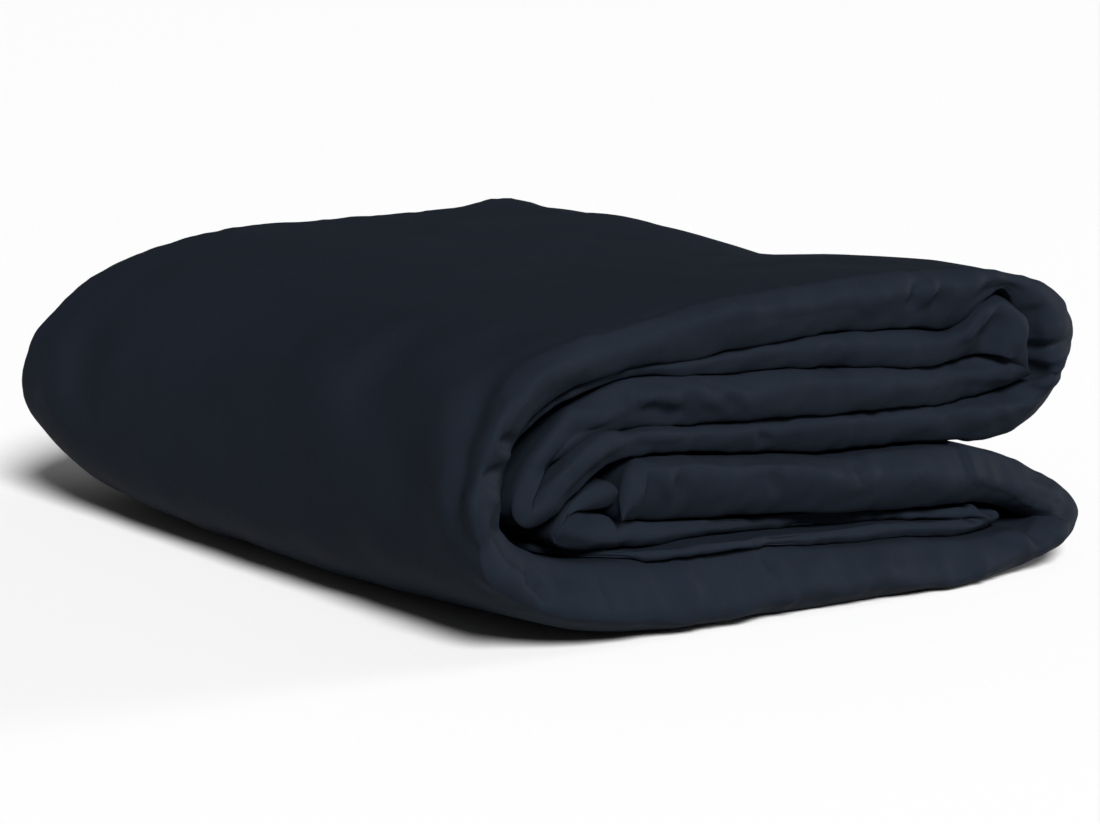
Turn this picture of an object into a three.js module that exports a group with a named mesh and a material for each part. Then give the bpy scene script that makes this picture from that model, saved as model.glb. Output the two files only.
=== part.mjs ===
// Duvet cover, folded flat for a shelf.
// The cover is laid lengthwise into a long padded strip. The strip is doubled, its two ends are turned in,
// and the pad is closed like a book, so each end shows one back-and-forth section of eight layers.
// Millimetres, +Z up, the origin under the middle. X runs across the folds and Y along their edges.
// The big round fold faces -X, and the open mouth between the two halves faces +X.
import * as THREE from 'three';

// Driving sizes
const DEPTH = 400; // length of the fold edges along Y
const GAP = 1.2; // air between two layers that lie on each other
const EDGE_REACH = 1.3; // depth of a layer's rounded edge, against half its thickness
const EDGE_FLAT = 0.35; // width of the flat left at a rounded edge, against the layer's thickness
const TOP = 138; // height of the pile, for the lift of its round side
const NAVY = 0x1f242c;
const CLOTH_ROUGHNESS = 0.85;

// Steps of the faceted surface
const RUN_STEPS = 6; // along each layer
const FOLD_STEPS = 3; // along each half of a tight fold
const BROAD_STEP = 12; // breadth of a fold that takes one step more
const EDGE_STEPS = 3; // over each rounded edge
const LENGTH_STEPS = 10; // along Y, between the rounded edges

// Layers from the surface up. over: height of the line above the layer at each place across the bundle.
// left, right: where its flat run ends. near, far: how far its edges stand back, or out if negative.
const PLACES = [-100, -50, 0, 50, 100];
const LAYERS = {
  base: { over: [29, 30, 27, 22, 21], left: -88, right: 100, near: -12, far: 6 },
  baseInner: { over: [34.5, 34.5, 33, 30, 29.5], left: -88, right: 96, near: 5, far: 10 },
  lowFlapInner: { over: [47, 43, 41, 39, 39.5], left: -95, right: 82, near: 10, far: 6 },
  lowFlap: { over: [71, 69.5, 65.5, 63, 61], left: -72, right: 90, near: -2, far: 9 },
  highFlap: { over: [86.5, 84, 82.5, 81, 79.5], left: -76, right: 100, near: 1, far: 5 },
  highFlapInner: { over: [99, 102, 101.5, 98.5, 96], left: -76, right: 100, near: 0, far: 11 },
  topInner: { over: [107.5, 112, 115.5, 116, 112.5], left: -85, right: 100, near: 9, far: 7 },
  top: { over: [125.5, 133, 136.5, 138, 136], left: -85, right: 100, near: -6, far: 0 },
};

// The strip's way through the layers, 1 to the right and -1 to the left, each ended by a fold.
const WAY = [
  { layer: 'lowFlap', goes: 1, fold: 'lowMouth' },
  { layer: 'base', goes: -1, fold: 'spine' },
  { layer: 'top', goes: 1, fold: 'highMouth' },
  { layer: 'highFlap', goes: -1, fold: 'dive' },
  { layer: 'highFlapInner', goes: 1, fold: 'highCore' },
  { layer: 'topInner', goes: -1, fold: 'spineInner' },
  { layer: 'baseInner', goes: 1, fold: 'lowCore' },
  { layer: 'lowFlapInner', goes: -1, fold: 'curl' },
];

// Folds. x, z: outermost point. points: the way it faces there, in degrees from +X towards +Z.
// thick: thickness there. hold: how long a run's direction lasts, against the way to that point.
// broad, slit: length of the outer round and of the inner slit's end, each side of that point.
// near, far: how far the edges stand back there.
const FOLDS = {
  lowMouth: { x: 170, z: 20, points: -4, thick: 23, hold: 0.27, broad: 15, slit: 5, near: -8, far: 9 },
  spine: { x: -163, z: 54, points: 180, thick: 20, hold: 0.55, broad: 44, slit: 27, near: -11, far: 6 },
  highMouth: { x: 167, z: 97, points: -8, thick: 20, hold: 0.66, broad: 20, slit: 9, near: -2, far: 6 },
  dive: { x: -135, z: 54, points: 232, thick: 12, hold: 0.55, broad: 5, slit: 1, near: 3, far: 9 },
  highCore: { x: 143, z: 99, points: 0, thick: 17, hold: 0.62, broad: 9, slit: 1, near: 8, far: 12 },
  spineInner: { x: -141.8, z: 54, points: 180, thick: 5, hold: 0.55, broad: 27, slit: 23, near: 14, far: 12 },
  lowCore: { x: 119, z: 29, points: -6, thick: 8, hold: 0.4, broad: 4, slit: 1, near: 9, far: 11 },
  curl: { x: -121, z: 45, points: 172, thick: 11, hold: 0.55, broad: 4, slit: 1, near: 10, far: 12 },
};

// The loose end past the last fold, tucked up beside the nose of the lower flap
const TUCK = { x: -94, z: 59, thick: 10, points: 20, near: 12, far: 14 };

// Shape along Y, from the near end, 0, to the far end, 1. left, right: breadth of each half of the section.
// heights: height at the left, in the middle and at the right. lift: rise of the round side's underside.
const HEIGHT_PLACES = [-110, 0, 110];
const LIFT_FROM = -55; // where the lift starts
const LIFT_TO = -165; // and where it is full
const STATIONS = [
  { at: 0, left: 1, right: 1, heights: [1, 1, 1.01], lift: 14 },
  { at: 0.2, left: 1, right: 1, heights: [1, 0.99, 1], lift: 5 },
  { at: 0.45, left: 1, right: 1, heights: [0.98, 0.96, 0.95], lift: 0 },
  { at: 0.7, left: 1.01, right: 1.01, heights: [0.97, 0.95, 0.965], lift: 0 },
  { at: 0.9, left: 1.03, right: 1.02, heights: [0.95, 0.94, 0.98], lift: 5 },
  { at: 1, left: 1.01, right: 1.01, heights: [0.94, 0.93, 0.98], lift: 26 },
];

// Smooth value at a place between the columns of a row
function between(places, values, place) {
  const last = places.length - 1;
  const past = places.findIndex((start) => start > place);
  const i = THREE.MathUtils.clamp(past < 0 ? last - 1 : past - 1, 0, last - 1);
  const span = places[i + 1] - places[i];
  const t = THREE.MathUtils.clamp((place - places[i]) / span, 0, 1);
  const s = 1 - t;
  const slope = (j) => {
    const a = Math.max(j - 1, 0);
    const b = Math.min(j + 1, last);
    return (values[b] - values[a]) / (places[b] - places[a]);
  };
  const level = values[i] * s * s * (1 + 2 * t) + values[i + 1] * t * t * (1 + 2 * s);
  return level + span * t * s * (slope(i) * s - slope(i + 1) * t);
}

// A step of the section: the strip's two faces and how far its edges stand back.
// left and right are as seen by someone who walks along the strip.
function step(left, right, near, far) {
  return { left, right, near, far };
}

function halfway(a) {
  return a.left.clone().add(a.right).multiplyScalar(0.5);
}

// Both faces of a layer at a place across the bundle
function layerStep(name, goes, x) {
  const names = Object.keys(LAYERS);
  const layer = LAYERS[name];
  const below = LAYERS[names[names.indexOf(name) - 1]];
  const upper = new THREE.Vector2(x, between(PLACES, layer.over, x) - GAP / 2);
  const lower = new THREE.Vector2(x, below ? between(PLACES, below.over, x) + GAP / 2 : 0);
  return goes > 0 ? step(upper, lower, layer.near, layer.far) : step(lower, upper, layer.near, layer.far);
}

// The flat run of a layer, in the strip's direction
function runSteps({ layer, goes }) {
  const { left, right } = LAYERS[layer];
  const [from, to] = goes > 0 ? [left, right] : [right, left];
  return Array.from({ length: RUN_STEPS + 1 }, (_, i) =>
    layerStep(layer, goes, THREE.MathUtils.lerp(from, to, i / RUN_STEPS)),
  );
}

// Steps along each half of a fold
function stepCount(fold) {
  return FOLD_STEPS + Math.round(fold.broad / BROAD_STEP);
}

// One face round a fold: two curves that meet at the fold's outermost point, or at the end of its slit
function foldFace(fold, from, fromWay, tip, tipWay, pull, to, toWay) {
  const reach = (point) => fold.hold * Math.abs(tip.clone().sub(point).dot(fromWay));
  const go = (point, way, length) => point.clone().addScaledVector(way, length);
  const first = new THREE.CubicBezierCurve(from, go(from, fromWay, reach(from)), go(tip, tipWay, -pull), tip);
  const second = new THREE.CubicBezierCurve(tip, go(tip, tipWay, pull), go(to, toWay, -reach(to)), to);
  const count = stepCount(fold);
  return [...first.getPoints(count).slice(1), ...second.getPoints(count).slice(1, -1)];
}

// The steps of a fold between the last two steps of one run and the first two of the next
function foldSteps(fold, before, from, to, after) {
  const facing = THREE.MathUtils.degToRad(fold.points);
  const out = new THREE.Vector2(Math.cos(facing), Math.sin(facing));
  const tipWay = new THREE.Vector2(-out.y, out.x);
  if (tipWay.dot(halfway(to).sub(halfway(from))) < 0) tipWay.negate();
  const tip = new THREE.Vector2(fold.x, fold.z);
  const slitEnd = tip.clone().addScaledVector(out, -fold.thick);
  const leftIsOuter = out.cross(tipWay) < 0;
  const [left, right] = ['left', 'right'].map((side) => {
    const outer = (side === 'left') === leftIsOuter;
    const fromWay = from[side].clone().sub(before[side]).normalize();
    const toWay = after[side].clone().sub(to[side]).normalize();
    const [middle, pull] = outer ? [tip, fold.broad] : [slitEnd, fold.slit];
    return foldFace(fold, from[side], fromWay, middle, tipWay, pull, to[side], toWay);
  });
  const places = [0, stepCount(fold), 2 * stepCount(fold)];
  return left.map((face, i) => {
    const near = between(places, [from.near, fold.near, to.near], i + 1);
    const far = between(places, [from.far, fold.far, to.far], i + 1);
    return step(face, right[i], near, far);
  });
}

// A loose end of the strip, rounded over past its last step, from that step outwards
function looseEnd(end, inner) {
  const out = halfway(end).sub(halfway(inner)).normalize();
  const half = end.left.distanceTo(end.right) / 2;
  return edgeAngles().map((angle) => {
    const middle = halfway(end).addScaledVector(out, half * Math.cos(angle));
    const [left, right] = [end.left, end.right].map((face) =>
      face.clone().sub(halfway(end)).multiplyScalar(Math.sin(angle)).add(middle),
    );
    return step(left, right, end.near, end.far);
  });
}

// Angles over a rounded edge, from its full thickness out to its flat
function edgeAngles() {
  const flat = Math.asin(EDGE_FLAT);
  return Array.from({ length: EDGE_STEPS }, (_, i) =>
    THREE.MathUtils.lerp(Math.PI / 2, flat, (i + 1) / EDGE_STEPS),
  );
}

// The tucked end as the two steps of a short run
function tuckSteps() {
  const slant = THREE.MathUtils.degToRad(TUCK.points);
  const ahead = new THREE.Vector2(Math.cos(slant), Math.sin(slant));
  const up = new THREE.Vector2(-ahead.y, ahead.x).multiplyScalar(TUCK.thick / 2);
  return [0, 1].map((length) => {
    const middle = new THREE.Vector2(TUCK.x, TUCK.z).addScaledVector(ahead, length);
    return step(middle.clone().add(up), middle.clone().sub(up), TUCK.near, TUCK.far);
  });
}

// The whole section, from the nose of the lower flap to the tucked end
function sectionSteps() {
  const runs = [...WAY.map(runSteps), tuckSteps()];
  const steps = [];
  runs.forEach((run, i) => {
    steps.push(...run);
    if (i === WAY.length) return;
    const next = runs[i + 1];
    steps.push(...foldSteps(FOLDS[WAY[i].fold], run.at(-2), run.at(-1), next[0], next[1]));
  });
  const nose = looseEnd(steps[0], steps[1]).reverse();
  return [...nose, ...steps, ...looseEnd(steps.at(-1), steps.at(-2))];
}

// Leans a point of the straight pile into the bundle's real shape
function settle(x, y, z) {
  const at = y / DEPTH + 0.5;
  const stations = STATIONS.map((station) => station.at);
  const column = (value) => between(stations, STATIONS.map(value), at);
  const breadth = column((station) => (x < 0 ? station.left : station.right));
  const heights = HEIGHT_PLACES.map((_, i) => column((station) => station.heights[i]));
  const lift = column((station) => station.lift) * THREE.MathUtils.smoothstep(-x, -LIFT_FROM, -LIFT_TO);
  return [x * breadth, y, z * between(HEIGHT_PLACES, heights, x) + lift * (1 - z / TOP)];
}

// Rings along Y. Each gives how thick the strip is there and where it lies between its two edges.
function rings() {
  const edge = edgeAngles().map((angle) => ({ thick: Math.sin(angle), out: Math.cos(angle) }));
  const body = Array.from({ length: LENGTH_STEPS + 1 }, (_, i) => ({
    thick: 1,
    out: 0,
    along: i / LENGTH_STEPS,
  }));
  const nearEdge = edge.map((ring) => ({ ...ring, along: 0 })).reverse();
  const farEdge = edge.map((ring) => ({ ...ring, along: 1 }));
  return [...nearEdge, ...body, ...farEdge];
}

// One face's point of a step on a ring
function ringPoint(section, side, ring) {
  const half = section.left.distanceTo(section.right) / 2;
  const middle = halfway(section);
  const face = section[side].clone().sub(middle).multiplyScalar(ring.thick).add(middle);
  const reach = half * EDGE_REACH;
  const from = -DEPTH / 2 + section.near + reach;
  const to = DEPTH / 2 - section.far - reach;
  const outwards = ring.along < 0.5 ? -1 : 1;
  const y = THREE.MathUtils.lerp(from, to, ring.along) + outwards * reach * ring.out;
  return settle(face.x, y, face.y);
}

// The closed skin of the strip, with its two long edges closed by narrow flats
function stripGeometry() {
  const steps = sectionSteps();
  const loop = [
    ...steps.map((section) => ({ section, side: 'left' })),
    ...steps.map((section) => ({ section, side: 'right' })).reverse(),
  ];
  const around = loop.length;
  const allRings = rings();
  const positions = allRings.flatMap((ring) =>
    loop.flatMap(({ section, side }) => ringPoint(section, side, ring)),
  );
  const triangles = [];
  const quad = (a, b, c, d) => triangles.push(a, b, c, a, c, d);
  for (let ring = 0; ring < allRings.length - 1; ring += 1) {
    for (let i = 0; i < around; i += 1) {
      const next = (i + 1) % around;
      const [here, there] = [ring * around, (ring + 1) * around];
      quad(here + i, here + next, there + next, there + i);
    }
  }
  const lastRing = (allRings.length - 1) * around;
  for (let i = 0; i < steps.length - 1; i += 1) {
    const opposite = around - 1 - i;
    quad(i, opposite, opposite - 1, i + 1);
    quad(lastRing + i, lastRing + i + 1, lastRing + opposite - 1, lastRing + opposite);
  }
  const geometry = new THREE.BufferGeometry();
  geometry.setAttribute('position', new THREE.Float32BufferAttribute(positions, 3));
  geometry.setIndex(triangles);
  geometry.computeVertexNormals();
  return geometry;
}

// Sets the origin under the middle of the box
function centred(geometry) {
  geometry.computeBoundingBox();
  const { min, max } = geometry.boundingBox;
  return geometry.translate(-(min.x + max.x) / 2, -(min.y + max.y) / 2, -min.z);
}

const cloth = new THREE.MeshStandardMaterial({ color: NAVY, roughness: CLOTH_ROUGHNESS, metalness: 0 });
const cover = new THREE.Mesh(centred(stripGeometry()), cloth);
cover.name = 'duvet_cover';

const bundle = new THREE.Group();
bundle.add(cover);

export default bundle;
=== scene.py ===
"""A folded duvet cover on a studio floor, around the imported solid. Laid out as an add-on, run as a script."""

import math

import bpy
import numpy as np
from bpy.props import FloatProperty, FloatVectorProperty, PointerProperty
from bpy.types import Operator, Panel, PropertyGroup
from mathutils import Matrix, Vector


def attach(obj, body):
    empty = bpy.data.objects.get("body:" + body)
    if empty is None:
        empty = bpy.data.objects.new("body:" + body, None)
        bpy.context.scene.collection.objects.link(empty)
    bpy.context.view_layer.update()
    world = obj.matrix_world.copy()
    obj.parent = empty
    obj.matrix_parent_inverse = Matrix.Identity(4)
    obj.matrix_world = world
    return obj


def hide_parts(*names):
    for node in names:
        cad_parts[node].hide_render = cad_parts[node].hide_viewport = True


bl_info = {
    "name": "Folded duvet cover",
    "version": (1, 0, 0),
    "blender": (4, 5, 0),
    "location": "3D View > Sidebar > Duvet cover",
    "description": "Folds a duvet cover layer by layer and sets it on a studio floor",
    "category": "Object",
}

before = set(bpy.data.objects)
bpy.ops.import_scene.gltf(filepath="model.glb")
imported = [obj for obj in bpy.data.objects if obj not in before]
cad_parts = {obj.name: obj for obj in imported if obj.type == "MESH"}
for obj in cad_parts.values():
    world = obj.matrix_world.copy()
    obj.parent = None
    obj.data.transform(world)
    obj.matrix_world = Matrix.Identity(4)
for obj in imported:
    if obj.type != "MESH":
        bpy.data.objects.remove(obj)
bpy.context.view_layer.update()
MM = 0.001

# Length of the fold edges along Y, in millimetres, as all sizes of the folds are
DEPTH = 400

# Layers from the surface up
# over: height of the line above the layer at each of the places across
# under: the line below it, where that isn't the line over the next lower layer
# left, right: where its flat run ends
# near, far: how far its edges stand back, or out if negative
# lean, deep: how far the near edge's crest leans down, and how deep its round is
PLACES = (-100, -75, -50, -25, 0, 25, 50, 75, 92, 110)
LAYERS = {
    "base": dict(
        over=(29.3, 30.9, 31.2, 31, 28, 24.5, 23.3, 21.8, 20.6, 19.5), left=-97, right=100,
        near=-13, far=6, lean=0.25, deep=1.7,
    ),
    "base_inner": dict(
        over=(32.8, 33.8, 35.2, 34.6, 32.8, 30.6, 29.6, 28.4, 27.2, 26), left=-88, right=100,
        near=(22, 1, -4, -3, 1, 4, 5, 4, 3, 2), far=10,
    ),
    "low_flap_inner": dict(
        over=(51, 46.5, 43, 41, 38.6, 36.6, 35, 33.2, 31.8, 30.4), left=-95, right=106,
        near=(4, 4, 6, 9, 13, 15, 14, 11, 8, 5), far=6,
    ),
    "low_flap": dict(
        over=(72, 72.3, 71, 68, 65.6, 62.9, 61.7, 60.9, 60, 57.2),
        under=(51.5, 47, 43.6, 42.2, 40.4, 38, 36, 34.6, 34, 34), left=-73, right=101,
        near=(-2, -2, -1, -1, -2, -3, -3, -3, -3, -2), far=9,
        lean=(-0.5, -0.5, -0.5, -0.5, -0.5, -0.5, -0.4, -0.2, 0, 0.2),
        deep=1.2,
    ),
    "high_flap": dict(
        over=(83.5, 84.3, 83.2, 82.3, 82.2, 81.2, 80, 79.3, 78.3, 79.5),
        under=(74.5, 74.2, 72.6, 69, 66.2, 63.8, 63, 62.2, 61.4, 60.6), left=-76, right=108,
        near=(0, 1, 3, 5, 6, 6, 6, 6, 6, 5), far=5, lean=-0.5, deep=1.1,
    ),
    "high_flap_inner": dict(
        over=(101, 105.6, 104.4, 102.5, 102.2, 101, 98.8, 96.5, 97.5, 99), left=-76, right=104,
        near=(-2, -1, 0, 0, 0, 0, 0, 1, 2, 3), far=11, lean=-0.25,
    ),
    "top_inner": dict(
        over=(105.5, 110.8, 111.4, 113.8, 115.3, 116.3, 114.8, 112.8, 112.2, 124.5), left=-85, right=108,
        near=(6, 3, 2, 2, 1, 0, -1, -2, -3, -4), far=7,
        lean=(-0.3, -0.3, -0.3, -0.3, -0.3, -0.3, -0.3, -0.4, -0.6, -0.6),
        deep=(1, 1, 1, 1, 1, 1, 1, 1, 1.1, 1.2),
    ),
    "top": dict(
        over=(125.5, 129.5, 133, 135.1, 136.5, 137.6, 138.2, 138.2, 138, 137.2), left=-98, right=108,
        near=-5, far=0, lean=-0.3,
    ),
}

# The strip's way through the layers, 1 to the right and -1 to the left, each ended by a fold
WAY = (
    ("low_flap", 1, "low_mouth"),
    ("base", -1, "spine"),
    ("top", 1, "high_mouth"),
    ("high_flap", -1, "dive"),
    ("high_flap_inner", 1, "high_core"),
    ("top_inner", -1, "spine_inner"),
    ("base_inner", 1, "low_core"),
    ("low_flap_inner", -1, "curl"),
)

# Folds between one run and the next
# tip, inner: outermost points of the outer and the inner face
# broad, slit: from those points, where the curve of that face heads before and after them
# hold, slit_hold: how long the directions of the run before and of the run after last
# near: how far the near edge stands back a quarter, half and three quarters of the way round
# lean, deep: how far its crest leans to the inner face there, and how deep its round is
# far: how far the far edge stands back
FOLDS = {
    "low_mouth": dict(
        tip=(176.5, 21), broad=((3, 14), (-2, -13)), hold=(0.2, 0.12),
        inner=(147, 22), slit=((-10, 5), (0, -2)), slit_hold=(0.25, 0.6),
        near=(1, 0, -8), lean=(0.4, 0.4, 0.1), deep=(1.1, 1.1, 1.4), far=9,
    ),
    "spine": dict(
        tip=(-163, 54), broad=((0, -44), (0, 44)), hold=(0.5, 0.5),
        inner=(-143, 50), slit=((0, -10), (0, 20)), slit_hold=(0.6, 0.7),
        near=(-11, -11, -9), lean=(-0.75, -0.75, -0.75), deep=(1.8, 1.8, 1.8), far=6,
    ),
    "high_mouth": dict(
        tip=(175.5, 98), broad=((2, 9), (-5, -13)), hold=(0.5, 0.85),
        inner=(142, 86.5), slit=((-11, 10), (-6, -2)), slit_hold=(4.3, 0.4),
        near=(-5, -4, 0), lean=(0, 0.55, 0.1), deep=(0.9, 1.7, 1.6), far=6,
    ),
    "dive": dict(
        tip=(-130, 44.5), broad=((16, -7), (-16, 12)), hold=(0.38, 0.45),
        inner=(-126, 54), slit=((11, 12), (8, 14)), slit_hold=(0.6, 0.6),
        near=(-1, 0, 2), lean=(0.15, 0, 0.3), deep=(1.1, 1, 1.4), far=9,
    ),
    "high_core": dict(
        tip=(139, 87.5), broad=((-7, -3.5), (-11, 9.5)), hold=(0.3, 0.85),
        inner=(123, 97), slit=((-2, -1), (-2, 1)), slit_hold=(0.5, 0.5),
        near=(3, 0, -5), lean=(0, -0.4, -0.7), deep=(0.8, 0.5, 0.5), far=12,
    ),
    "spine_inner": dict(
        tip=(-141.8, 51), broad=((0, 24), (0, -14)), hold=(0.7, 0.55),
        inner=(-138.4, 51), slit=((0, 22), (0.6, -13)), slit_hold=(0.7, 0.55),
        near=(7, 8, 26), lean=(0, 0, 0), deep=(0.8, 0.8, 1), far=12,
    ),
    "low_core": dict(
        tip=(127, 24.6), broad=((0, -3.6), (0, 3.6)), hold=(0.75, 0.6),
        inner=(107, 26.2), slit=((0, -0.3), (0, 0.3)), slit_hold=(0.4, 0.4),
        near=(4, 4, 4), lean=(0, 0, 0), deep=(1, 0.7, 1), far=11,
    ),
    "curl": dict(
        tip=(-114, 40), broad=((0, -6), (0, 6)), hold=(0.5, 0.45),
        inner=(-106, 51.6), slit=((2, -0.3), (2, 0.6)), slit_hold=(0.4, 0.4),
        near=(4, 4, 4), lean=(0, 0, 0), deep=(0.7, 0.6, 0.7), far=12,
    ),
}

# The loose end past the last fold, tucked up beside the nose of the lower flap. It points up by some degrees.
TUCK = dict(x=-91, z=57.5, thick=10.5, points=14, near=3, far=14)

# Height of the pile, and how far it is moved in X and Y to lie where the solid does
TOP = 138
CENTRE = (-2.8, 7.7)

# Shape along Y, from the near end, 0, to the far end, 1
# left, right: breadth of each half of the section
# heights: height at each place across, from the left
# lift: rise of the round side's underside, none at LIFT_FROM and all of it at LIFT_TO
HEIGHT_PLACES = (-150, -75, 0, 75, 130)
LIFT_FROM = -55
LIFT_TO = -165
STATIONS = (
    dict(at=0, left=1, right=1, heights=(1, 1, 1, 1, 1), lift=14),
    dict(at=0.2, left=1, right=0.985, heights=(1, 0.995, 0.985, 0.985, 0.99), lift=5),
    dict(at=0.4, left=1, right=0.98, heights=(0.98, 0.97, 0.955, 0.94, 0.93), lift=0),
    dict(at=0.54, left=1, right=0.98, heights=(0.97, 0.965, 0.945, 0.95, 0.96), lift=0),
    dict(at=0.7, left=1.01, right=0.99, heights=(0.96, 0.96, 0.945, 0.955, 0.976), lift=1),
    dict(at=0.9, left=1.03, right=1.015, heights=(0.88, 0.955, 0.935, 0.94, 0.97), lift=13),
    dict(at=1, left=1.01, right=1.025, heights=(0.84, 0.95, 0.93, 0.93, 0.985), lift=34),
)

# Creases by the face they lie on: the parts they cross, how broad their flanks are, and their height, below 0
# for a trough. The course is given as x and z on the near end and as y and z on the round side.
LIP = ("spine", "top", "base")
CREASES = {
    "near": (
        (
            LIP, 6, 3.2,
            ((-106, 121), (-122, 118), (-137, 111), (-146, 95), (-152, 85), (-157, 75), (-161, 60)),
        ),
        (LIP, 6, 3.2, ((-158, 72), (-161, 60), (-159, 51), (-155, 42), (-150, 33), (-144, 23), (-134, 14))),
        (LIP, 5, -3, ((-151, 86), (-145, 84), (-136, 81))),
        (LIP, 6, 2, ((-151, 78), (-145, 77), (-136, 77))),
        (LIP, 5, -3.4, ((-158, 68), (-151, 70), (-142, 71))),
        (LIP, 7, 1.8, ((-157, 59), (-150, 58), (-143, 57))),
        (LIP, 6, -2, ((-156, 47), (-147, 44), (-138, 38))),
        (LIP, 5, -5.5, ((-137, 27), (-131, 21), (-125, 16))),
        (LIP, 5, 3.2, ((-147, 31), (-139, 22), (-128, 14))),
        (LIP, 6, -2.6, ((-128, 33), (-118, 25), (-108, 27))),
        (
            ("dive", "high_flap_inner"), 7, 3.6,
            ((-84, 94), (-96, 93), (-107, 91), (-116, 84), (-123, 76), (-128, 69), (-136, 54)),
        ),
        (
            ("dive", "high_flap_inner", "high_flap"), 5, -3,
            ((-84, 85), (-100, 85), (-108, 81), (-112, 76), (-118, 68), (-129, 51)),
        ),
        (("high_flap_inner",), 6, 3.4, ((-82, 98), (-70, 98), (-60, 96), (-50, 90))),
        (("high_flap_inner",), 6, -2.4, ((-78, 91), (-62, 92), (-46, 86))),
        (("high_flap_inner",), 5, 1.6, ((-54, 102), (-41, 96), (-27, 88))),
        (("high_flap_inner",), 5, -1.2, ((-44, 102), (-33, 95), (-20, 88))),
        (("high_flap_inner",), 5, 1.2, ((-36, 101), (-26, 95), (-16, 88))),
        (("dive", "high_flap"), 6, 4, ((-80, 83), (-90, 81), (-101, 76), (-109, 69), (-119, 61), (-129, 50))),
        (("dive", "high_flap"), 8, -1.6, ((-92, 72), (-104, 62), (-114, 50))),
        (("high_flap",), 4.5, 1.6, ((-80, 83), (-64, 82), (-48, 80))),
        (("high_flap",), 4, -2, ((-11, 80), (-3, 69))),
        (("low_flap", "nose"), 6, 2, ((-79, 71), (-79, 62), (-84, 50))),
        (("low_flap", "nose"), 4, -2, ((-74, 69), (-71, 65), (-69, 58))),
        (("low_flap",), 4, 2, ((-66, 69), (-63, 63), (-62, 55))),
        (("low_flap",), 4, -2, ((-59, 68), (-56, 62), (-54, 54))),
        (("low_flap",), 4, -2.4, ((-10, 63), (-7, 58), (-4, 50))),
        (("low_flap",), 4, -1.6, ((37, 61), (39, 50))),
        (("base",), 4, -3, ((-16, 29), (-11, 21))),
        (("base",), 6, 2, ((-62, 30), (-57, 21), (-54, 12))),
        (("base",), 6, -2, ((-52, 30), (-47, 21), (-44, 12))),
        (("base",), 7, 2, ((42, 22), (46, 14), (48, 7))),
        (("base",), 14, 2, ((-110, 20), (-70, 24), (-30, 22))),
        (("top",), 12, 1.8, ((66, 131), (88, 134), (108, 133))),
        (("top",), 12, -2.4, ((58, 129), (70, 125), (86, 118))),
        (("top",), 5, -2.2, ((66, 136), (64, 129), (63, 122))),
        (("top",), 5, 2.2, ((74, 136), (72, 129), (70, 121))),
        (("top",), 5, -2, ((81, 135), (79, 128), (77, 121))),
        (("top",), 10, 1.6, ((42, 136), (40, 130), (36, 123))),
        (("top", "high_mouth"), 9, -3, ((92, 121), (104, 126), (118, 128), (134, 124))),
        (("top_inner", "high_core"), 5, 3.4, ((92, 106), (97, 111), (104, 117), (112, 123))),
        (("top_inner", "high_core"), 9, -3, ((105, 103), (111, 110), (116, 118))),
        (("high_core",), 6, 2.6, ((120, 100), (127, 109), (125, 120))),
        (("high_mouth",), 8, -2, ((134, 122), (133, 112), (131, 100))),
        (("high_mouth",), 12, 3, ((136, 108), (146, 109), (160, 108))),
        (("high_mouth",), 5, -5, ((124, 96), (137, 98), (148, 100), (164, 102))),
        (("high_mouth",), 7, 2.6, ((138, 95), (148, 95), (160, 94))),
        (("high_mouth",), 6, -3.4, ((132, 95), (141, 90), (148, 87))),
        (("high_mouth",), 7, 2.6, ((139, 82), (149, 85), (158, 87))),
        (("high_mouth", "high_flap"), 8, 1.8, ((98, 74), (112, 72), (130, 77))),
        (("high_core",), 6, 2.4, ((112, 92), (121, 93), (130, 91))),
        (("high_core", "high_flap_inner"), 5, 1.8, ((80, 96), (110, 90), (136, 86))),
        (("low_mouth",), 4, 2, ((128, 41), (141, 37), (152, 33), (164, 30))),
        (("low_core",), 4, 2, ((104, 31), (112, 29), (119, 23))),
        (("low_core",), 4, -2, ((111, 33), (118, 29), (125, 26))),
        (("base", "low_mouth"), 5, 3, ((110, 25), (122, 21), (134, 13))),
        (("base", "low_mouth"), 6, -3, ((120, 25), (132, 20), (141, 13))),
        (("low_mouth",), 8, 3, ((132, 23), (145, 21), (160, 22))),
        (("low_mouth",), 5, -2.6, ((148, 25), (158, 24), (168, 24))),
    ),
    "side": (
        (("spine",), 10, -2.2, ((-174, 118), (-191, 102), (-198, 83), (-200, 65), (-201, 46), (-199, 26))),
        (("spine",), 16, 1.8, ((-140, 114), (-170, 98), (-184, 78), (-188, 58), (-186, 34))),
        (("spine",), 24, -2.4, ((-90, 118), (-112, 101), (-136, 84), (-156, 66), (-164, 40))),
        (("spine",), 26, 1.8, ((-40, 116), (-66, 96), (-92, 74), (-110, 44))),
        (("spine",), 22, 1.8, ((182, 108), (162, 88), (152, 66), (146, 40))),
        (("spine",), 22, -1.8, ((150, 104), (132, 86), (120, 62), (118, 36))),
    ),
}

# Share of a crease's length that tapers at each end, how far in from an edge it lasts, the least that counts
CREASE_TAPER = 0.3
CREASE_DEPTH = 15
CREASE_LEAST = 0.01

# Pieces of a crease's course between two of its points
COURSE_PIECES = 8

# Height over the floor up to which the relief is eased
FLOOR_EASE = 9

# Unevenness: pitch and height of the waves in the open cloth, along the near edges, along their crests,
# on the edges and between the layers
OPEN_WAVES = ((120, 1.1), (46, 0.45))
EDGE_WAVER = ((70, 0.8), (24, 0.7), (11, 0.3))
CREST_WAVER = ((80, 0.22), (30, 0.16))
EDGE_WAVES = ((32, 0.5), (12, 0.2))
LINE_WAVES = ((46, 0.5), (17, 0.3))
WAVE_COUNT = 7
WAVE_SPREAD = (0.7, 1.3)
WAVE_SEED = 7

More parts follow.
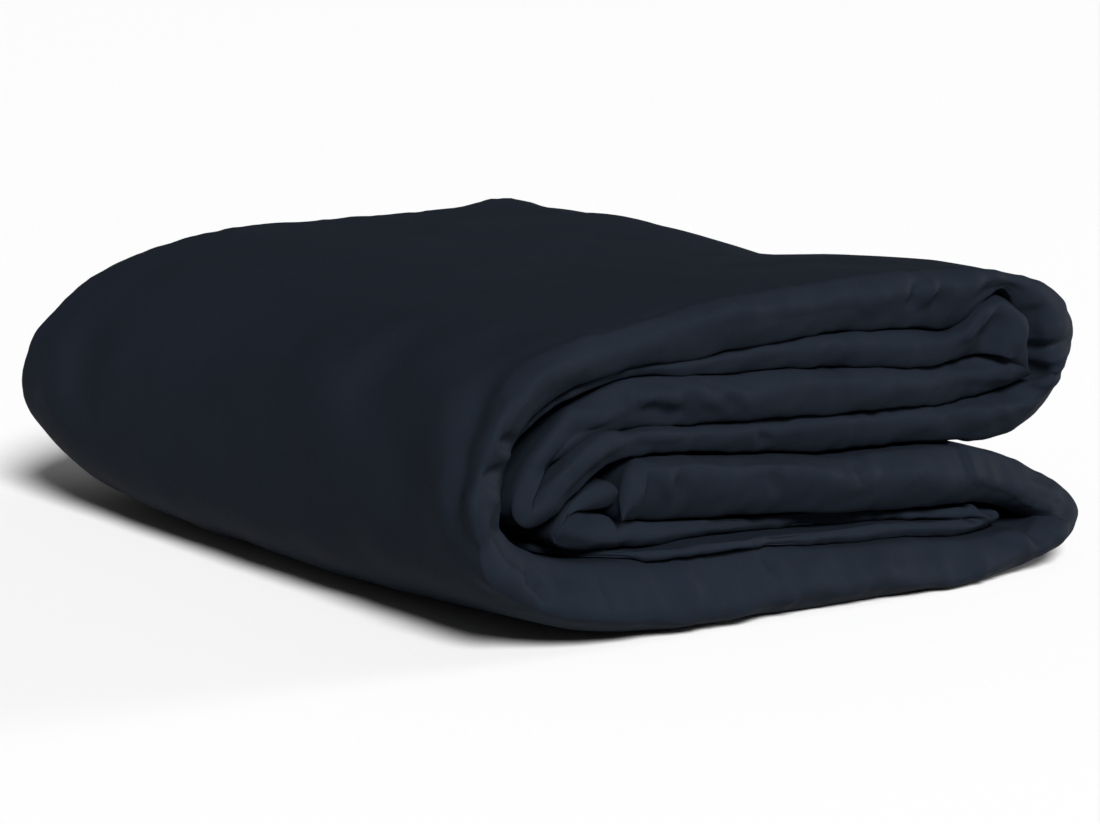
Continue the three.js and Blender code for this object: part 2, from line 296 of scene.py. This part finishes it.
# Crumpled cloth: pitch and height of its sharp folds, on the edges and in the open cloth, the middle of their
# height, and the share of it that is left between the layers
EDGE_CRUMPLES = ((48, 1.1), (21, 0.45))
OPEN_CRUMPLES = ((90, 0.5),)
CRUMPLE_MEAN = 0.43
BETWEEN_SHARE = 0.3

# Loose ends: how far they round over, how squarely, 1 being round, and how far the nose slants down
NOSE_REACH = 12
NOSE_SHAPE = 1.2
NOSE_SLANT = 0.95
TUCK_REACH = 6
TUCK_SHAPE = 0.6

# Edges of the layers: their depth to half the thickness, and how square and how crowned their round is
EDGE_REACH = 0.78
EDGE_SHAPE = 0.4
EDGE_CROWN = 0.7
EDGE_SPREAD = 0.8
CROWN_POWER = 1.5

# Fineness of the skin, across the layers and along them
RUN_STEP = 1.9
FOLD_STEP = 1.6
FOLD_LEAST = 3
LENGTH_PLACES = 40
LOOSE_STEPS = 8
NEAR_STEPS = 11
FINE_RINGS = 4
FAR_STEPS = 6
FAR_RINGS = 3
BODY_RINGS = 64
BODY_EASE = 0.55
HIDDEN_STRIDE = 9

# Parts of the strip whose left face is the outside of the bundle
OPEN_PARTS = ("low_mouth", "base", "spine", "top", "high_mouth")

# Columns of a step of the section
LEFT = slice(0, 2)
RIGHT = slice(2, 4)
NEAR = 4
FAR = 5
LEAN = 6
DEEP = 7

# Cloth: scale of its threads' wander, slubs, mottle and crumple to the metre, and how far the threads wander
WANDER_SCALE = 300.0
SLUB_SCALE = (900, 60, 1)
MOTTLE_SCALE = 22.0
CRUMPLE_SCALE = 55.0
WANDER_TURN = 9.0

# What the cloth's colour and its threads' relief take from each of those; the weave's share of the colour is
# painted shade in the weave's valleys and a painted highlight on its raised threads
MOTTLE_IN_TONE = 0.6
SLUB_IN_TONE = 0.3
WEAVE_SHADE_IN_TONE = 0.1
SLUB_IN_RELIEF = 0.7

# Relief of threads and crumple, in metres, and how strongly it shows
THREAD_RELIEF = 0.00005
THREAD_STRENGTH = 0.4
CRUMPLE_RELIEF = 0.0008
CRUMPLE_STRENGTH = 0.5

# Shine of the cloth
ROUGH_LEAST = 0.66
ROUGH_VARIES = 0.1
SHINE = 0.03
SHINE_TINT = (0.4, 0.66, 1, 1)

# Studio: azimuth and elevation of the lights and how far they spread, in degrees, and floor and camera
KEY_FROM = (-20, 37)
FILL_FROM = (80, 10)
LIGHT_SPREAD = 20
FLOOR_SIZE = 40
FLOOR_ROUGHNESS = 0.9
SENSOR_WIDTH = 36


def between(places, values, place):
    """Smooth value at each place between the columns of a row."""
    places = np.asarray(places, float)
    values = np.asarray(values, float)
    place = np.asarray(place, float)
    last = len(places) - 1

    def pick(j):
        return values[j] if values.ndim == 1 else np.take_along_axis(values, j[None], 0)[0]

    def slope(j):
        before = np.maximum(j - 1, 0)
        after = np.minimum(j + 1, last)
        return (pick(after) - pick(before)) / (places[after] - places[before])

    i = np.clip(np.searchsorted(places, place, side="right") - 1, 0, last - 1)
    span = places[i + 1] - places[i]
    t = np.clip((place - places[i]) / span, 0, 1)
    s = 1 - t
    level = pick(i) * s * s * (1 + 2 * t) + pick(i + 1) * t * t * (1 + 2 * s)
    return level + span * t * s * (slope(i) * s - slope(i + 1) * t)


def smooth_ramp(value, start, end):
    """0 at start, 1 at end, soft between them."""
    t = np.clip((np.asarray(value, float) - start) / (end - start), 0, 1)
    return t * t * (3 - 2 * t)


def unit(vector):
    """The same direction at length 1."""
    return vector / np.linalg.norm(vector)


def halfway(step):
    """The middle of a step, between its two faces."""
    return (step[LEFT] + step[RIGHT]) / 2


def bezier(points, t):
    """Places on a curve from its first point to its last, led by the two between them."""
    a, b, c, d = points
    t = t[:, None]
    s = 1 - t
    return s**3 * a + 3 * s * s * t * b + 3 * s * t * t * c + t**3 * d


def pack_steps(left, right, near, far, lean=0, deep=1):
    """Steps as rows: both faces, how far the edges stand back, and the near edge's lean and depth."""
    edges = [np.broadcast_to(value, len(left)) for value in (near, far, lean, deep)]
    return np.column_stack([left, right, *edges])


def layer_line(heights, x):
    """The line between two layers, a little wavy."""
    return between(PLACES, heights, x) + waves(np.outer(x, (1, 0, 0)) + heights[0], LINE_WAVES)


def run_steps(name, goes, gap):
    """The flat run of a layer, in the strip's direction."""
    layer = LAYERS[name]
    names = list(LAYERS)
    place = names.index(name)
    count = math.ceil((layer["right"] - layer["left"]) / RUN_STEP) + 1
    x = np.linspace(layer["left"], layer["right"], count)[::goes]
    outermost = place == len(names) - 1
    over = between(PLACES, layer["over"], x) if outermost else layer_line(layer["over"], x)
    upper = over - gap / 2
    below = layer.get("under") or LAYERS[names[place - 1]]["over"]
    lower = layer_line(below, x) + gap / 2 if place else np.zeros(count)
    faces = [np.column_stack([x, upper]), np.column_stack([x, lower])][::goes]
    edges = (layer["near"], layer["far"], layer.get("lean", 0), layer.get("deep", 1))
    near, far, lean, deep = (between(PLACES, edge, x) if isinstance(edge, tuple) else edge for edge in edges)
    return pack_steps(*faces, near, far, lean * goes, deep)


def tuck_steps():
    """The tucked end as the two steps of a short run."""
    slant = math.radians(TUCK["points"])
    ahead = np.array([math.cos(slant), math.sin(slant)])
    up = np.array([-ahead[1], ahead[0]]) * TUCK["thick"] / 2
    middle = np.array([[TUCK["x"], TUCK["z"]]]) + np.outer([0, 1], ahead)
    return pack_steps(middle + up, middle - up, TUCK["near"], TUCK["far"])


def fold_steps(fold, run, following):
    """The steps of a fold between two runs: each face is two curves that meet at its outermost point."""
    start, end = run[-1], following[0]
    out = np.subtract(fold["tip"], fold["inner"])
    on = np.subtract(fold["broad"][1], fold["broad"][0])
    left_is_outer = out[0] * on[1] - out[1] * on[0] < 0
    curves = []
    for side in (LEFT, RIGHT):
        outer = (side == LEFT) == left_is_outer
        middle = np.array(fold["tip"] if outer else fold["inner"], float)
        before, after = fold["broad" if outer else "slit"]
        hold = fold["hold" if outer else "slit_hold"]
        way = unit(start[side] - run[-2][side])
        way_on = unit(following[1][side] - end[side])
        reach = [part * abs((middle - point) @ way) for part, point in zip(hold, (start[side], end[side]))]
        first = (start[side], start[side] + way * reach[0], middle + before, middle)
        second = (middle, middle + after, end[side] - way_on * reach[1], end[side])
        curves.append((first, second))
    outer_face = curves[0] if left_is_outer else curves[1]
    counts = [max(FOLD_LEAST, math.ceil(curve_length(curve) / FOLD_STEP)) for curve in outer_face]
    faces = []
    for first, second in curves:
        up_to_tip = bezier(first, np.linspace(0, 1, counts[0] + 1))[1:]
        past_tip = bezier(second, np.linspace(0, 1, counts[1] + 1))[1:-1]
        faces.append(np.vstack([up_to_tip, past_tip]))
    first_half = np.arange(1, counts[0] + 1) / counts[0]
    second_half = 1 + np.arange(1, counts[1]) / counts[1]
    share = np.concatenate([first_half, second_half]) / 2
    quarters = (0, 0.25, 0.5, 0.75, 1)
    near = between(quarters, (start[NEAR], *fold["near"], end[NEAR]), share)
    far = between((0, 0.5, 1), (start[FAR], fold["far"], end[FAR]), share)
    lean = np.array(fold["lean"]) * (1 if left_is_outer else -1)
    lean = between(quarters, (start[LEAN], *lean, end[LEAN]), share)
    deep = between(quarters, (start[DEEP], *fold["deep"], end[DEEP]), share)
    return pack_steps(*faces, near, far, lean, deep)


def curve_length(curve):
    """Length of a curve, in short straight pieces."""
    line = bezier(curve, np.linspace(0, 1, LENGTH_PLACES))
    return np.linalg.norm(np.diff(line, axis=0), axis=1).sum()


def loose_end(end, inner, reach, shape, slant=0):
    """A loose end, rounded over past its last step to a line that may slant to its right face."""
    centre = halfway(end)
    out = unit(centre - halfway(inner))
    angles = np.linspace(math.pi / 2, 0, LOOSE_STEPS + 1)[1:, None]
    thick = np.sin(angles) ** shape
    thick[-1] = 0
    fall = (end[RIGHT] - centre) * slant * (1 - thick)
    middle = centre + out * reach * np.cos(angles) ** shape + fall
    left = middle + (end[LEFT] - centre) * thick
    right = middle + (end[RIGHT] - centre) * thick
    return pack_steps(left, right, end[NEAR], end[FAR])


def section_steps(gap):
    """The whole section, from the nose of the lower flap to the tucked end, with each step's part by name."""
    runs = [run_steps(name, goes, gap) for name, goes, _ in WAY] + [tuck_steps()]
    steps = [loose_end(runs[0][0], runs[0][1], NOSE_REACH, NOSE_SHAPE, NOSE_SLANT)[::-1]]
    names = ["nose"] * LOOSE_STEPS
    for i, (layer, _, fold) in enumerate(WAY):
        turn = fold_steps(FOLDS[fold], runs[i], runs[i + 1])
        steps += [runs[i], turn]
        names += [layer] * len(runs[i]) + [fold] * len(turn)
    steps += [runs[-1], loose_end(runs[-1][-1], runs[-1][-2], TUCK_REACH, TUCK_SHAPE)]
    names += ["tuck"] * (len(runs[-1]) + LOOSE_STEPS)
    return np.vstack(steps), np.array(names)


def ring_table():
    """Rings along Y as rows: the strip's thickness, how far out on its edge, and where between its edges."""
    share = np.linspace(0, 1, BODY_RINGS)
    along = share - BODY_EASE * np.sin(2 * math.pi * share) / (2 * math.pi)
    body = np.column_stack([np.ones(BODY_RINGS), np.zeros(BODY_RINGS), along])
    return np.vstack([edge_rings(NEAR_STEPS, 0), body, edge_rings(FAR_STEPS, 1)[::-1]])


def edge_rings(count, along):
    """Rings of an edge from its crest inwards: square if its shape is low, round at 1, and softly crowned."""
    thick = np.sin(np.linspace(0, math.pi / 2, count + 1)[:-1]) ** EDGE_SPREAD
    corner = (1 - thick ** (2 / EDGE_SHAPE)) ** (EDGE_SHAPE / 2)
    out = corner * (1 - EDGE_CROWN) + EDGE_CROWN * (1 - thick**CROWN_POWER)
    return np.column_stack([thick, out, np.full(count, along)])


def settle(points):
    """Leans the points of the straight pile into the bundle's real shape."""
    x, y, z = points.T
    at = y / DEPTH + 0.5
    stations = [station["at"] for station in STATIONS]

    def column(values):
        return between(stations, values, at)

    left = column([station["left"] for station in STATIONS])
    right = column([station["right"] for station in STATIONS])
    heights = [column([station["heights"][i] for station in STATIONS]) for i in range(len(HEIGHT_PLACES))]
    lift = column([station["lift"] for station in STATIONS]) * smooth_ramp(x, LIFT_FROM, LIFT_TO)
    height = between(HEIGHT_PLACES, np.array(heights), x)
    return np.column_stack([x * np.where(x < 0, left, right), y, z * height + lift * (1 - z / TOP)])


def strip_points(steps, rings):
    """Points of the straight pile, as an array by side, step and ring."""
    reach = np.linalg.norm(steps[:, LEFT] - steps[:, RIGHT], axis=1)[:, None] / 2 * EDGE_REACH
    thick, out, along = rings.T
    near_reach = reach * steps[:, DEEP, None]
    start = steps[:, NEAR, None] - DEPTH / 2 + near_reach
    end = DEPTH / 2 - steps[:, FAR, None] - reach
    y = start + (end - start) * along + np.where(along < 0.5, -near_reach, reach) * out
    middle = (steps[:, LEFT] + steps[:, RIGHT]) / 2
    lean = np.where(along == 0, 1 - thick, 0)[None] * steps[:, LEAN, None]
    sides = []
    for side in (LEFT, RIGHT):
        face = middle[:, None] + (steps[:, side] - middle)[:, None] * thick[:, None]
        face = face + (steps[:, RIGHT] - middle)[:, None] * lean[..., None]
        sides.append(np.stack([face[..., 0], y, face[..., 1]], -1))
    return np.stack(sides)


class Skin:
    """The strip's closed skin: points in millimetres, faces, and where on the cloth each point lies."""

    def __init__(self, gap):
        steps, self.names = section_steps(gap)
        lengths = self.face_lengths(steps)
        line = np.outer(lengths.mean(0), (1, 0, 0))
        steps[:, NEAR] += waves(line, EDGE_WAVER)
        steps[:, LEAN] += waves(line, CREST_WAVER)
        rings = ring_table()
        grid = strip_points(steps, rings)
        self.wide = np.unique(np.append(np.arange(0, len(steps), 2), len(steps) - 1))
        self.shown = self.wide[self.wide <= np.flatnonzero(self.names == "dive")[-1]][-1]
        self.fine = np.arange(NEAR_STEPS + FINE_RINGS + 1)
        self.all_rings = np.arange(self.fine[-1], len(rings))
        far_rings = self.all_rings[-FAR_STEPS - FAR_RINGS :]
        self.few_rings = np.unique(np.append(self.all_rings[::HIDDEN_STRIDE], far_rings))
        index = self.number_points(grid.shape[:3])
        side, step, ring = (part[index >= 0] for part in np.indices(index.shape))
        first = np.unique(index[index >= 0], return_index=True)[1]
        self.side, self.step, self.ring = side[first], step[first], ring[first]
        self.flat = grid[self.side, self.step, self.ring]
        self.depth = self.flat[:, 1] - (steps[:, NEAR] - DEPTH / 2)[self.step]
        self.back = (DEPTH / 2 - steps[:, FAR])[self.step] - self.flat[:, 1]
        points = settle(self.flat)
        self.points = points + [*CENTRE, -points[:, 2].min()]
        self.part = self.names[self.step]
        self.open = (self.side == 0) & np.isin(self.part, OPEN_PARTS)
        self.bare = self.open | (self.ring < NEAR_STEPS) | (self.ring >= len(rings) - FAR_STEPS)
        self.along = lengths[self.side, self.step]
        self.faces = self.make_faces(index)

    def number_points(self, shape):
        """A number for each point of the grid that is used, and -1 for others. Points that meet share one."""
        _, count, rows = shape
        used = np.zeros(shape, bool)
        used[:, :, self.fine] = True
        used[:, self.wide[:, None], self.few_rings] = True
        used[0, self.wide[self.wide <= self.shown]] = True
        index = np.full(shape, -1)
        index[used] = np.arange(np.count_nonzero(used))
        for end in (0, count - 1):
            index[0, end, :NEAR_STEPS] = index[0, end, NEAR_STEPS]
            index[0, end, rows - FAR_STEPS :] = index[0, end, rows - FAR_STEPS - 1]
            index[1, end] = index[0, end]
        for tip in (0, rows - 1):
            index[1, :, tip] = index[0, :, tip]
        left = np.unique(index[index >= 0])
        tight = np.full(index.max() + 2, -1)
        tight[left] = np.arange(len(left))
        return tight[index]

    @staticmethod
    def face_lengths(steps):
        """Length of cloth along each face of the strip, up to each step."""
        lengths = []
        for side in (LEFT, RIGHT):
            hops = np.linalg.norm(np.diff(steps[:, side], axis=0), axis=1)
            lengths.append(np.concatenate([[0], np.cumsum(hops)]))
        return np.stack(lengths)

    def make_faces(self, index):
        """Faces between neighbouring steps: small ones at the near end, long ones deep between the layers."""
        faces = []
        for side in (0, 1):
            for step in range(index.shape[1] - 1):
                faces += self.strip_of_faces(index[side], step, step + 1, self.fine, side)
            for step, following in zip(self.wide[:-1], self.wide[1:]):
                rings = self.all_rings if side == 0 and step < self.shown else self.few_rings
                faces += self.strip_of_faces(index[side], step, following, rings, side)
        return faces

    @staticmethod
    def strip_of_faces(index, step, following, rings, side):
        """The faces from one step to another, with the points that smaller neighbours have on their rim."""
        here, there = index[step], index[following]
        skipped = index[step + 1 : following]
        faces = []
        for low, high in zip(rings[:-1], rings[1:]):
            loop = [*here[low : high + 1], *skipped[:, high], *there[low : high + 1][::-1], *skipped[:, low]]
            loop = [point for point in loop if point >= 0]
            loop = [point for i, point in enumerate(loop) if point != loop[i - 1]]
            if len(loop) > 2:
                faces.append(loop if side else loop[::-1])
        return faces


def waves(points, kinds, seed=WAVE_SEED):
    """Soft seeded unevenness at each point: waves of about each pitch and height, in many directions."""
    chance = np.random.default_rng(seed)
    total = np.zeros(len(points))
    for pitch, height in kinds:
        ways = chance.normal(size=(3, WAVE_COUNT))
        rates = chance.uniform(*WAVE_SPREAD, WAVE_COUNT) * 2 * math.pi / pitch
        starts = chance.uniform(0, 2 * math.pi, WAVE_COUNT)
        turns = points @ (ways / np.linalg.norm(ways, axis=0)) * rates + starts
        total += height * np.sin(turns).mean(1) * 2
    return total


def crumples(points, kinds):
    """Sharp folds at each point, that wander about with each pitch and stand up to about each height."""
    total = np.zeros(len(points))
    for seed, (pitch, height) in enumerate(kinds):
        total += height * (CRUMPLE_MEAN - np.abs(waves(points, ((pitch, 1),), seed)))
    return total


def ridge(places, wide, deep, course, sharp):
    """Height of a sharp or a soft ridge at each place, tapered to its ends."""
    course = np.array(course, float)
    knots = np.arange(len(course))
    fine = np.linspace(0, knots[-1], COURSE_PIECES * knots[-1] + 1)
    line = np.column_stack([between(knots, column, fine) for column in course.T])
    hops = np.diff(line, axis=0)
    away = places[:, None] - line[:-1]
    share = np.clip((away * hops).sum(-1) / (hops * hops).sum(-1), 0, 1)
    gaps = np.linalg.norm(away - share[..., None] * hops, axis=-1)
    nearest = gaps.argmin(1)
    row = np.arange(len(places))
    along = (nearest + share[row, nearest]) / len(hops)
    taper = smooth_ramp(np.minimum(along, 1 - along), 0, CREASE_TAPER)
    flank = np.clip(1 - gaps[row, nearest] / wide, 0, 1)
    return deep * taper * (flank if sharp else smooth_ramp(flank, 0, 1))


def rumple(skin):
    """How far each point of the skin is raised along its normal, by the listed creases and soft waves."""
    near = np.exp(-((skin.depth / CREASE_DEPTH) ** 2))
    edge = (near + np.exp(-((skin.back / CREASE_DEPTH) ** 2))) * np.where(skin.bare, 1, BETWEEN_SHARE)
    raised = skin.open * (waves(skin.flat, OPEN_WAVES) + crumples(skin.flat, OPEN_CRUMPLES))
    raised += edge * (waves(skin.flat, EDGE_WAVES) + crumples(skin.flat, EDGE_CRUMPLES))
    for face, axes in (("near", (0, 2)), ("side", (1, 2))):
        weight = near if face == "near" else skin.open
        for parts, wide, deep, course in CREASES[face]:
            chosen = np.isin(skin.part, parts) & (weight > CREASE_LEAST)
            height = ridge(skin.flat[chosen][:, axes], wide, deep, course, face == "near")
            raised[chosen] += weight[chosen] * height
    return raised * smooth_ramp(skin.flat[:, 2], 0, FLOOR_EASE)


class Signal:
    """A shader socket that can be added to and multiplied like a number."""

    def __init__(self, tree, socket=None):
        self.tree = tree
        self.socket = socket

    def node(self, kind, settings=None, inputs=None, output=0):
        """Makes any other node: its settings first, then the values or links of its sockets."""
        made = self.tree.nodes.new(kind)
        for name, value in (settings or {}).items():
            setattr(made, name, value)
        for name, value in (inputs or {}).items():
            if isinstance(value, Signal):
                self.tree.links.new(value.socket, made.inputs[name])
            else:
                made.inputs[name].default_value = value
        return Signal(self.tree, made.outputs[output])

    def math(self, operation, first, second):
        """Adds a Math node."""
        return self.node("ShaderNodeMath", {"operation": operation}, {0: first, 1: second})

    def __add__(self, other):
        return self.math("ADD", self, other)

    def __mul__(self, other):
        return self.math("MULTIPLY", self, other)

    __radd__ = __add__
    __rmul__ = __mul__


class DuvetFold(PropertyGroup):
    """How the cover is folded."""

    gap: FloatProperty(
        name="Gap", description="Distance from one layer to the next",
        min=0, max=0.003, default=0.0004, unit="LENGTH", precision=5,
    )
    crumpling: FloatProperty(
        name="Crumpling", description="How far waves, creases and crumples stand out",
        subtype="FACTOR", min=0, max=2, default=1,
    )


class DuvetFinish(PropertyGroup):
    """Colours and weave of the cloth."""

    # Deep and pale navy are mixed mostly by random mottle and slubs, which are the cloth's own tone, and a
    # little by the weave, whose share is painted shade in its valleys and a painted highlight on its raised
    # threads
    deep: FloatVectorProperty(
        name="Deep navy", description="Colour of the threads in the valleys of the weave",
        subtype="COLOR", size=3, min=0, max=1, default=(0.0052, 0.0068, 0.0102),
    )
    pale: FloatVectorProperty(
        name="Pale navy", description="Colour of the threads that catch the light",
        subtype="COLOR", size=3, min=0, max=1, default=(0.0077, 0.0100, 0.0147),
    )
    pitch: FloatProperty(
        name="Thread pitch", description="Distance from one thread to the next",
        min=0.0001, max=0.01, default=0.0006, unit="LENGTH", precision=5,
    )


class DuvetStage(PropertyGroup):
    """Floor, light and camera."""

    floor: FloatVectorProperty(
        name="Floor", description="Colour of the studio floor",
        subtype="COLOR", size=3, min=0, max=1, default=(0.6, 0.6, 0.6),
    )
    sky: FloatProperty(
        name="Room light", description="Even light from all round",
        min=0, max=10, default=0.1,
    )
    key: FloatProperty(
        name="Key light", description="Strength of the soft light from the front",
        min=0, max=20, default=7.6,
    )
    fill: FloatProperty(
        name="Side light", description="Strength of the soft light from the right",
        min=0, max=20, default=1.9,
    )
    azimuth: FloatProperty(
        name="Azimuth", description="Camera's way round the bundle, 0 looking along +Y",
        subtype="ANGLE", default=math.radians(-34.3),
    )
    elevation: FloatProperty(
        name="Elevation", description="Camera's height above the horizon",
        subtype="ANGLE", default=math.radians(10),
    )
    distance: FloatProperty(
        name="Distance", description="Camera's distance from its target",
        min=0.1, default=1.52, unit="LENGTH",
    )
    target: FloatVectorProperty(
        name="Target", description="Point that the camera looks at",
        subtype="TRANSLATION", size=3, default=(0.022, 0.019, 0.052),
    )
    lens: FloatProperty(
        name="Lens", description="Focal length",
        min=10, default=104.73, unit="CAMERA",
    )


def cloth_material(finish):
    """Dark navy sateen: fine threads across and along, small unevenness in colour, shine and surface."""
    material = bpy.data.materials.new("navy_sateen")
    material.use_nodes = True
    tree = material.node_tree
    shader = tree.nodes["Principled BSDF"]
    start = Signal(tree)
    cloth = start.node("ShaderNodeUVMap", {"uv_map": "cloth"})
    place = start.node("ShaderNodeTexCoord", output="Object")
    thread = 2 * math.pi / finish.pitch
    across = start.node("ShaderNodeSeparateXYZ", inputs={0: cloth}, output=0)
    along = start.node("ShaderNodeSeparateXYZ", inputs={0: cloth}, output=1)
    wander = start.node("ShaderNodeTexNoise", inputs={"Vector": cloth, "Scale": WANDER_SCALE, "Detail": 1.0})
    wander = wander * WANDER_TURN
    warp = start.node("ShaderNodeMath", {"operation": "SINE"}, {0: across * thread + wander})
    weft = start.node("ShaderNodeMath", {"operation": "SINE"}, {0: along * thread + wander})
    weave = warp * weft * 0.5 + 0.5
    slub_place = start.node("ShaderNodeMapping", inputs={"Vector": cloth, "Scale": SLUB_SCALE})
    slub = start.node("ShaderNodeTexNoise", inputs={"Vector": slub_place, "Scale": 1.0, "Detail": 2.0})
    mottle = start.node("ShaderNodeTexNoise", inputs={"Vector": place, "Scale": MOTTLE_SCALE, "Detail": 3.0})
    # Colour from random mottle and slubs, plus a little painted shade and highlight that follow the weave's
    # relief
    tone = mottle * MOTTLE_IN_TONE + slub * SLUB_IN_TONE + weave * WEAVE_SHADE_IN_TONE
    shade = start.node(
        "ShaderNodeMix", {"data_type": "RGBA"},
        {"Factor": tone, 6: (*finish.deep, 1), 7: (*finish.pale, 1)}, output=2,
    )
    crumple = start.node(
        "ShaderNodeTexNoise",
        inputs={"Vector": place, "Scale": CRUMPLE_SCALE, "Detail": 3.0, "Roughness": 0.5},
    )
    ribs = weave + slub * SLUB_IN_RELIEF
    threads = start.node(
        "ShaderNodeBump",
        inputs={"Strength": THREAD_STRENGTH, "Distance": THREAD_RELIEF, "Height": ribs},
    )
    bumps = start.node(
        "ShaderNodeBump",
        inputs={
            "Strength": CRUMPLE_STRENGTH, "Distance": CRUMPLE_RELIEF, "Height": crumple, "Normal": threads,
        },
    )
    rough = mottle * ROUGH_VARIES + ROUGH_LEAST
    tree.links.new(shade.socket, shader.inputs["Base Color"])
    tree.links.new(rough.socket, shader.inputs["Roughness"])
    tree.links.new(bumps.socket, shader.inputs["Normal"])
    shader.inputs["Specular IOR Level"].default_value = SHINE
    shader.inputs["Specular Tint"].default_value = SHINE_TINT
    return material


class DUVET_OT_fold_cover(Operator):
    """Lays the cover back and forth in its layers, creases it and dresses it"""

    bl_idname = "duvet.fold_cover"
    bl_label = "Fold the cover"

    def execute(self, context):
        fold = context.scene.duvet_fold
        skin = Skin(fold.gap / MM)
        mesh = bpy.data.meshes.new("folded_cover")
        mesh.from_pydata((skin.points * MM).tolist(), [], skin.faces)
        if mesh.validate():
            raise RuntimeError("the folded skin has faces that don't fit")
        add_cloth_map(mesh, skin)
        normals = np.empty(3 * len(skin.points))
        mesh.vertices.foreach_get("normal", normals)
        points = skin.points + normals.reshape(-1, 3) * rumple(skin)[:, None] * fold.crumpling
        points[:, 2] = np.maximum(points[:, 2], 0)
        mesh.vertices.foreach_set("co", (points * MM).ravel())
        mesh.shade_smooth()
        mesh.update()
        cover = bpy.data.objects.new("folded_cover", mesh)
        context.scene.collection.objects.link(cover)
        mesh.materials.append(cloth_material(context.scene.duvet_finish))
        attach(cover, "root")
        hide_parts("duvet_cover")
        return {"FINISHED"}


def add_cloth_map(mesh, skin):
    """The cloth's own map, in metres along the strip and across it."""
    spot = np.column_stack([skin.along, skin.points[:, 1]]) * MM
    corners = np.empty(len(mesh.loops), int)
    mesh.loops.foreach_get("vertex_index", corners)
    layer = mesh.uv_layers.new(name="cloth")
    layer.data.foreach_set("uv", spot[corners].astype(np.float32).ravel())


class DUVET_OT_set_stage(Operator):
    """Sets out the floor, the light and the camera"""

    bl_idname = "duvet.set_stage"
    bl_label = "Set the stage"

    def execute(self, context):
        stage = context.scene.duvet_stage
        add_floor(stage)
        add_light(context.scene, stage)
        add_camera(context.scene, stage)
        return {"FINISHED"}


def add_floor(stage):
    """The plain floor that the bundle lies on."""
    bpy.ops.object.select_all(action="DESELECT")
    bpy.ops.mesh.primitive_plane_add(size=FLOOR_SIZE)
    floor = bpy.context.object
    floor.name = "floor"
    material = bpy.data.materials.new("studio_floor")
    material.use_nodes = True
    shader = material.node_tree.nodes["Principled BSDF"]
    shader.inputs["Base Color"].default_value = (*stage.floor, 1)
    shader.inputs["Roughness"].default_value = FLOOR_ROUGHNESS
    floor.data.materials.append(material)


def add_light(scene, stage):
    """Room light all round, and two broad soft lights."""
    world = bpy.data.worlds.new("studio")
    world.use_nodes = True
    back = world.node_tree.nodes["Background"]
    back.inputs["Color"].default_value = (1, 1, 1, 1)
    back.inputs["Strength"].default_value = stage.sky
    scene.world = world
    for name, strength, place in (("key", stage.key, KEY_FROM), ("fill", stage.fill, FILL_FROM)):
        light = bpy.data.lights.new(name, "SUN")
        light.energy = strength
        light.angle = math.radians(LIGHT_SPREAD)
        lamp = bpy.data.objects.new(name, light)
        aim_from(lamp, towards(*map(math.radians, place)))
        scene.collection.objects.link(lamp)
    scene.view_settings.view_transform = "Standard"


def towards(azimuth, elevation):
    """Direction from the bundle to a place round it, azimuth 0 being the near end."""
    level = math.cos(elevation)
    return Vector((math.sin(azimuth) * level, -math.cos(azimuth) * level, math.sin(elevation)))


def aim_from(holder, back):
    """Turns a light or the camera to look from a direction at the bundle."""
    holder.rotation_mode = "QUATERNION"
    holder.rotation_quaternion = (-back).to_track_quat("-Z", "Y")


def add_camera(scene, stage):
    """The camera at the photograph's angle."""
    camera = bpy.data.cameras.new("camera")
    camera.lens = stage.lens
    camera.sensor_width = SENSOR_WIDTH
    holder = bpy.data.objects.new("camera", camera)
    back = towards(stage.azimuth, stage.elevation)
    holder.location = Vector(stage.target) + back * stage.distance
    aim_from(holder, back)
    scene.collection.objects.link(holder)
    scene.camera = holder


class DUVET_PT_cover(Panel):
    """Sidebar panel with the steps and their settings"""

    bl_label = "Duvet cover"
    bl_idname = "DUVET_PT_cover"
    bl_space_type = "VIEW_3D"
    bl_region_type = "UI"
    bl_category = "Duvet cover"

    def draw(self, context):
        scene = context.scene
        for operator, groups in (
            (DUVET_OT_fold_cover, (scene.duvet_fold, scene.duvet_finish)),
            (DUVET_OT_set_stage, (scene.duvet_stage,)),
        ):
            box = self.layout.box()
            box.operator(operator.bl_idname)
            for group in groups:
                for name in type(group).__annotations__:
                    box.prop(group, name)


GROUPS = {"duvet_fold": DuvetFold, "duvet_finish": DuvetFinish, "duvet_stage": DuvetStage}
CLASSES = (*GROUPS.values(), DUVET_OT_fold_cover, DUVET_OT_set_stage, DUVET_PT_cover)


def register():
    """Registers the classes and the scene's settings."""
    for kind in CLASSES:
        bpy.utils.register_class(kind)
    for name, kind in GROUPS.items():
        setattr(bpy.types.Scene, name, PointerProperty(type=kind))


def unregister():
    """Takes the settings and the classes away again."""
    for name in GROUPS:
        delattr(bpy.types.Scene, name)
    for kind in reversed(CLASSES):
        bpy.utils.unregister_class(kind)


def main():
    """Sets the stage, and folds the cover."""
    register()
    bpy.ops.duvet.set_stage()
    bpy.ops.duvet.fold_cover()


if __name__ == "__main__":
    main()
